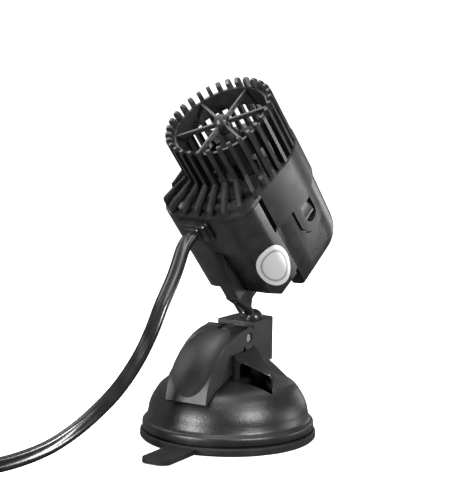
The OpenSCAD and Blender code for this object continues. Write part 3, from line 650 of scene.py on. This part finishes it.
def soften(piece, width, segments=2, angle=EDGE_ANGLE):
    """Rounds the edges. The clamp stays on: without it, stray faces span the cage."""
    bevel = piece.modifiers.new("edges", "BEVEL")
    bevel.width = width
    bevel.segments = segments
    bevel.limit_method = "ANGLE"
    bevel.angle_limit = math.radians(angle)
    bevel.use_clamp_overlap = True
    apply_all(piece)
    edit(piece)
    bpy.ops.mesh.dissolve_degenerate(threshold=SLIVER)
    bpy.ops.mesh.delete_loose()
    leave()
    smooth(piece, EDGE_SMOOTH)
    even = piece.modifiers.new("even", "WEIGHTED_NORMAL")
    even.weight = EVEN_WEIGHT
    even.keep_sharp = True
    apply_all(piece)


def dress(piece, node, body, finish):
    finish_with(piece, finish)
    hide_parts(node)
    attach(piece, body)


def rounded(node, name, body, finish, width, segments=2, angle=EDGE_ANGLE):
    piece = solid_copy(node, name)
    soften(piece, width, segments, angle)
    dress(piece, node, body, finish)
    return piece


def cut_away(piece, cutter):
    bite = piece.modifiers.new("bite", "BOOLEAN")
    bite.operation = "DIFFERENCE"
    bite.solver = "EXACT"
    bite.object = cutter
    apply_all(piece)
    bpy.data.objects.remove(cutter)


def spun(name, outline, steps):
    """A solid of revolution from a closed outline of radius and height pairs in millimetres."""
    count = len(outline)
    corners = []
    faces = []
    for i in range(steps):
        a = 2 * math.pi * i / steps
        corners += [Vector((r * math.cos(a), r * math.sin(a), z)) * MM for r, z in outline]
        n = (i + 1) % steps
        for k in range(count):
            m = (k + 1) % count
            faces.append((i * count + k, n * count + k, n * count + m, i * count + m))
    return new_piece(name, corners, faces)


def prism(name, outline, heights, place):
    """A solid between two heights over a closed outline, each corner put where place says."""
    count = len(outline)
    corners = [place(x, y, z) for z in heights for x, y in outline]
    faces = [(k, (k + 1) % count, count + (k + 1) % count, count + k) for k in range(count)]
    faces += [tuple(range(count)), tuple(range(count, 2 * count))]
    return new_piece(name, corners, faces)


# Base: a dome that is spun smooth, and the saddle that stands on it
def dome_outside():
    """The dome's outside from the flange's foot to the hole for the stem, as radius and height."""
    rim = FLANGE_R + DOME_SKIN
    top = DOME_H + DOME_SKIN
    flange = [(rim - inwards, CUP_LIP + up) for inwards, up in FLANGE_EDGE]
    curve = [Vector((rim - inwards, top - down)) for inwards, down in DOME_CURVE]
    return flange + [tuple(point) for point in spline(curve, DOME_CURVE_STEPS)]


def dome_inside():
    """The dome's inside, from the hole for the stem back to the flange's foot."""
    rim = FLANGE_R - DOME_WALL
    ceiling = [(STEM_HOLE, DOME_H - STEM_HOLE_DOWN)]
    ceiling += [(r, DOME_H - down) for r, down in INNER_CROWN]
    wall = [(rim - inwards, DOME_H - down) for inwards, down in INNER_WALL]
    foot = [(rim - inwards, CUP_LIP + up) for inwards, up in INNER_FOOT]
    return ceiling + wall + foot


def window_cutter(side):
    """The upright slot through the dome under the roof, drawn along the roof's swept front."""
    sweep = math.radians(ROOF_SWEEP)
    outline = []
    for k, corner in enumerate(WINDOW):
        here = Vector(corner)
        before = here.lerp(Vector(WINDOW[k - 1]), WINDOW_ROUND)
        after = here.lerp(Vector(WINDOW[(k + 1) % len(WINDOW)]), WINDOW_ROUND)
        for step in range(WINDOW_STEPS + 1):
            t = step / WINDOW_STEPS
            outline.append(before.lerp(here, t).lerp(here.lerp(after, t), t))

    def place(u, v, high):
        x = ROOF_INNER + u * math.cos(sweep) - v * math.sin(sweep)
        y = ROOF_FRONT + u * math.sin(sweep) + v * math.cos(sweep)
        return Vector((side * x, y, high)) * MM

    return prism("window_cutter", outline, (DOME_H - WINDOW_DEEP, DOME_H + WINDOW_OVER), place)


def dome_core(outside):
    """What lies under the saddle: the dome with a thin skin, and the flange with room round it."""
    foot = CUP_LIP + FLANGE_H
    rim = FLANGE_R + CORE_BEYOND
    top = DOME_H + DOME_SKIN + CORE_SKIN
    wall = [(r + CORE_SKIN, z + CORE_SKIN) for r, z in outside if z > foot]
    core = [(rim, foot)] + wall + [(CORE_AXIS, top), (CORE_AXIS, CORE_BELOW), (rim, CORE_BELOW)]
    return spun("dome_core", core, CORE_STEPS)


def make_base():
    outside = dome_outside()
    saddle = solid_copy("base_dome", "saddle_roof", flatten=False)
    cut_away(saddle, dome_core(outside))
    soften(saddle, SADDLE_EDGE)
    shell = spun("dome_shell", outside + dome_inside(), DOME_STEPS)
    for side in (-1, 1):
        cut_away(shell, window_cutter(side))
    smooth(shell, DOME_SMOOTH)
    dress(saddle, "base_dome", "base", dome_plastic)
    dress(shell, "base_dome", "base", dome_plastic)


# Pump head
def skirt_line(r):
    """The skirt's outline from one end of its flats to the other, in millimetres from the pump axis."""
    turns = [math.radians(a) for a in range(90, 271, SKIRT_TURN)]
    return [(SKIRT_END, r)] + [(r * math.cos(a), r * math.sin(a)) for a in turns] + [(SKIRT_END, -r)]


def barrel(piece, inwards, heights):
    """Turns the two flats beside the latches into shallow barrels that fall away towards the slots."""
    for side in (-1, 1):
        along = [SKIRT_END * k / BARREL_STEPS for k in range(BARREL_STEPS + 1)]
        curve = [(x, side * (BODY_R - inwards - x * x / (2 * BARREL_R))) for x in along]
        beyond = SKIRT_END + BARREL_BEYOND
        out = side * (BODY_R + BARREL_OUT)
        block = [(beyond, curve[-1][1]), (beyond, out), (0, out)]
        cut_away(piece, prism("barrel_cutter", curve + block, heights, pump_point))


def make_cage():
    cage = solid_copy("guard_cage", "outlet_cage")
    barrel(cage, 0, (SKIRT_FOOT - SKIRT_BELOW, SKIRT_FOOT + SKIRT_ABOVE))
    soften(cage, CAGE_EDGE)
    dress(cage, "guard_cage", "head", cage_plastic)


def make_shell():
    """The motor housing, with a shadow line under the skirt where the two mouldings part."""
    shell = solid_copy("motor_housing", "motor_shell")
    ring = skirt_line(BODY_R + PARTING_OUT) + skirt_line(BODY_R - PARTING_DEEP)[::-1]
    heights = (SKIRT_FOOT - PARTING_HIGH, SKIRT_FOOT + PARTING_LAP)
    cut_away(shell, prism("parting_line", ring, heights, pump_point))
    barrel(shell, PARTING_STEP, (0, SKIRT_FOOT - BARREL_GAP))
    soften(shell, SHELL_EDGE)
    dress(shell, "motor_housing", "head", head_plastic)


def dress_solids():
    make_cage()
    make_shell()
    rounded("cable_gland", "cord_gland", "head", head_plastic, GLAND_EDGE)
    rounded("ball_arm", "ball_stalk", "head", head_plastic, STALK_EDGE)
    rounded("lift_post", "lift_block", "post", dome_plastic, POST_EDGE)
    rounded("cam_lever", "lock_lever", "lever", lever_plastic, LEVER_EDGE, angle=LEVER_ANGLE)
    make_base()
    rounded("suction_cup", "rubber_cup", "base", cup_rubber, CUP_EDGE)
    plug = rounded("plug_body", "plug_shell", "swivel", cord_jacket, PLUG_EDGE, PLUG_SEGMENTS)
    finishes = {"lever_pin": pin_steel, "ball_liner": head_plastic, "potting_plate": cup_rubber,
                "stator_core": core_steel, "coil_bobbin": bobbin_plastic, "coil_winding": winding_copper,
                "rotor_shaft": pin_steel, "front_bush": cup_rubber, "rear_bush": cup_rubber,
                "magnet_rotor": magnet_ferrite, "impeller": cage_plastic, "cord_tie": cup_rubber,
                "plug_pin_a": plug_nickel, "plug_pin_b": plug_nickel}
    for node, finish in finishes.items():
        finish_with(nodes[node], finish)
    return plug


# Label
def side_place(along, high, out):
    """A point on the coil box's side, wrapped round its corner. Along counts from the corner's start."""
    if along <= 0:
        return pump_point((BOX_REACH - BOX_CORNER + along) / MM, (BOX_HALF + out) / MM, high / MM)
    turn = along / BOX_CORNER
    r = BOX_CORNER + out
    return pump_point((BOX_REACH - BOX_CORNER + r * math.sin(turn)) / MM,
                      (BOX_HALF - BOX_CORNER + r * math.cos(turn)) / MM, high / MM)


def make_label():
    """A plain oval label, pressed on the box's side and folded a little round its corner."""
    bpy.ops.object.select_all(action="DESELECT")
    bpy.ops.mesh.primitive_circle_add(vertices=LABEL_POINTS, radius=LABEL_RADIUS, fill_type="NGON")
    label = bpy.context.object
    label.name = "round_label"
    edit(label)
    for ring in range(LABEL_RINGS - 1):
        bpy.ops.mesh.inset(thickness=LABEL_RADIUS / LABEL_RINGS)
    leave()
    for vertex in label.data.vertices:
        along = LABEL_ALONG + LABEL_NARROW * vertex.co.x
        vertex.co = side_place(along, LABEL_HIGH + vertex.co.y, LABEL_LIFT)
    thickness = label.modifiers.new("thickness", "SOLIDIFY")
    thickness.thickness = LABEL_THICK
    thickness.offset = 1
    apply_all(label)
    turn_outwards(label)
    smooth(label, EDGE_SMOOTH)
    finish_with(label, label_foil())
    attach(label, "head")


make_camera()
make_studio()
make_floor()
make_backdrop()
make_cord(dress_solids())
make_label()
